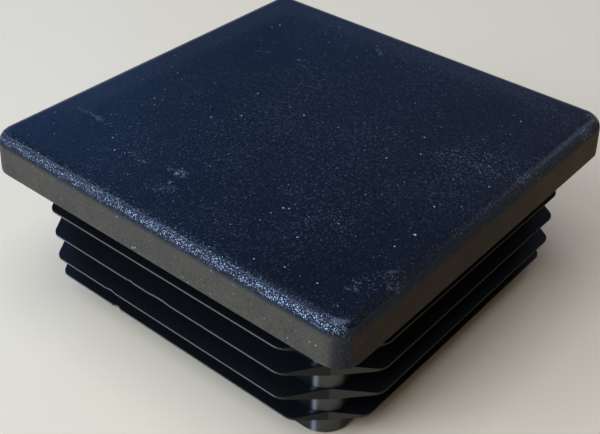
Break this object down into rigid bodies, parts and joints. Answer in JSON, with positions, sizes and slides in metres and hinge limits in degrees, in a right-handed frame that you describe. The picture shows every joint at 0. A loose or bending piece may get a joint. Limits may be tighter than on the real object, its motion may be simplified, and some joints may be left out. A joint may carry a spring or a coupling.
{
  "type": "tube end cap",
  "caption": "Square end cap for a square tube: a thick flat head covers the tube's end, and a hollow plug with thin flexible fins, parted by a V notch at each corner, grips inside it.",
  "frame": {"origin": "middle of the plug's open rim, the lowest point of the cap as it stands with its head up", "axes": "+Z along the plug towards the head, +X and +Y square to the head's sides; the dented fin tips face -Y"},
  "size_m": [0.05, 0.05, 0.0205],
  "materials": {
    "black_polyethylene": "satin"
  },
  "bodies": {
    "root": {"end_cap": "black_polyethylene"}
  },
  "joints": []
}
